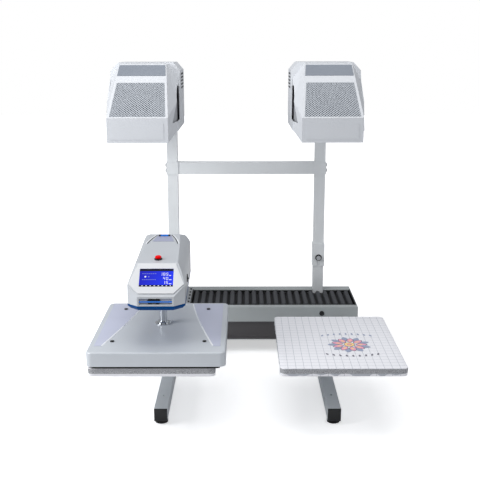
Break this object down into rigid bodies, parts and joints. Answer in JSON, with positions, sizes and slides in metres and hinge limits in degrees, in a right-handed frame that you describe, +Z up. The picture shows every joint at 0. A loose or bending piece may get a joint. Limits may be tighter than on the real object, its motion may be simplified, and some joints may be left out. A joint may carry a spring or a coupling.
{
  "type": "double station heat press",
  "caption": "Free-standing heat press: a pressing head shuttles between fixed lower platens, under a mast that holds an alignment projector above each station.",
  "frame": {"origin": "on the floor, below the middle of the whole object's floor plan", "axes": "+X to the operator's right, +Y away from the operator, +Z up"},
  "size_m": [1.031, 1.13, 1.186],
  "materials": {
    "frame_paint": "satin powder coat",
    "housing_paint": "satin powder coat",
    "cover_paint": "satin powder coat",
    "head_plastic": "satin metallic paint",
    "white_plastic": "fine matt texture",
    "dark_plastic": "moulded texture",
    "black_plastic": "moulded texture",
    "blue_plastic": "smooth gloss",
    "light_blue": "translucent gloss",
    "red_plastic": "smooth gloss",
    "lavender_plastic": "satin tint",
    "blue_grey_panel": "satin",
    "grille_metal": "satin paint",
    "screen_glass": "gloss glass",
    "chrome": "polished",
    "polished_steel": "ground",
    "zinc_steel": "zinc plated",
    "black_steel": "black oxide",
    "aluminium": "milled",
    "cast_metal": "painted casting",
    "heater_metal": "dark non-stick coat",
    "rubber": "matt",
    "silicone": "matt sponge",
    "cloth": "woven",
    "bellows_cloth": "coated cloth",
    "insulation": "fibre board"
  },
  "bodies": {
    "base": {"legs": "frame_paint", "leg_caps": "black_plastic", "feet": "rubber", "base_housing": "housing_paint", "lower_panel": "dark_plastic", "button_collars": "black_plastic", "rear_inlets": "black_plastic", "guide_rails": "polished_steel", "shuttle_cylinder": "aluminium", "end_stops": "rubber", "platen_arms": "frame_paint", "arm_bolts": "zinc_steel", "lower_platens": "aluminium", "silicone_pads": "silicone", "platen_cloth_left": "cloth", "platen_cloth_right": "cloth", "lower_posts": "frame_paint", "post_bolts": "zinc_steel", "bellows_left": "bellows_cloth", "bellows_right": "bellows_cloth", "bellows_plates_fixed": "black_plastic"},
    "start_left": {"start_button_left": "black_plastic"},
    "start_right": {"start_button_right": "black_plastic"},
    "mast": {"upper_posts": "frame_paint", "post_sleeves": "frame_paint", "crossbar": "frame_paint", "crossbar_bolts": "zinc_steel", "hood_brackets": "frame_paint", "hood_rear_left": "white_plastic", "hood_rear_right": "white_plastic", "hood_front_left": "white_plastic", "hood_front_right": "white_plastic", "hood_grilles": "grille_metal", "hood_top_panels": "blue_grey_panel", "projectors": "black_plastic"},
    "carriage": {"carriage_plate": "aluminium", "carriage_screws": "black_steel", "bearing_blocks": "aluminium", "head_arm": "cast_metal", "head_housing": "head_plastic", "head_trim": "blue_plastic", "head_bezel": "white_plastic", "screen": "screen_glass", "recess_tray": "aluminium", "light_bars": "light_blue", "catch_block": "black_plastic", "switch_bezel": "black_plastic", "stop_collar": "black_plastic", "top_inset": "lavender_plastic", "air_cylinder": "aluminium", "bellows_plates_moving": "black_plastic"},
    "rocker": {"power_rocker": "black_plastic"},
    "stop": {"stop_button": "red_plastic"},
    "press": {"press_ram": "chrome", "press_flange": "chrome", "heat_cover": "cover_paint", "cover_insets": "lavender_plastic", "cover_screws": "black_steel", "heated_plate": "heater_metal", "insulation_board": "insulation"}
  },
  "joints": [
    {"name": "shuttle", "type": "slide", "parent": "base", "child": "carriage", "axis": [1, 0, 0], "range_m": [0, 0.58], "deforming": ["bellows_right", "bellows_left"]},
    {"name": "press_stroke", "type": "slide", "parent": "carriage", "child": "press", "axis": [0, 0, 1], "range_m": [0, 0.05]},
    {"name": "mast_lift", "type": "slide", "parent": "base", "child": "mast", "axis": [0, 0, 1], "range_m": [0, 0.035]},
    {"name": "stop_press", "type": "slide", "parent": "carriage", "child": "stop", "axis": [0, 0.1054, -0.9944], "range_m": [0, 0.003], "stiffness_N_per_m": 1500},
    {"name": "start_left_press", "type": "slide", "parent": "base", "child": "start_left", "axis": [0, 1, 0], "range_m": [0, 0.004], "stiffness_N_per_m": 800},
    {"name": "start_right_press", "type": "slide", "parent": "base", "child": "start_right", "axis": [0, 1, 0], "range_m": [0, 0.004], "stiffness_N_per_m": 800},
    {"name": "power_rock", "type": "hinge", "parent": "carriage", "child": "rocker", "pos_m": [-0.19866, -0.34905, 0.496], "axis": [-0.0176, 0.9998, 0], "range_deg": [-16, 0]}
  ]
}
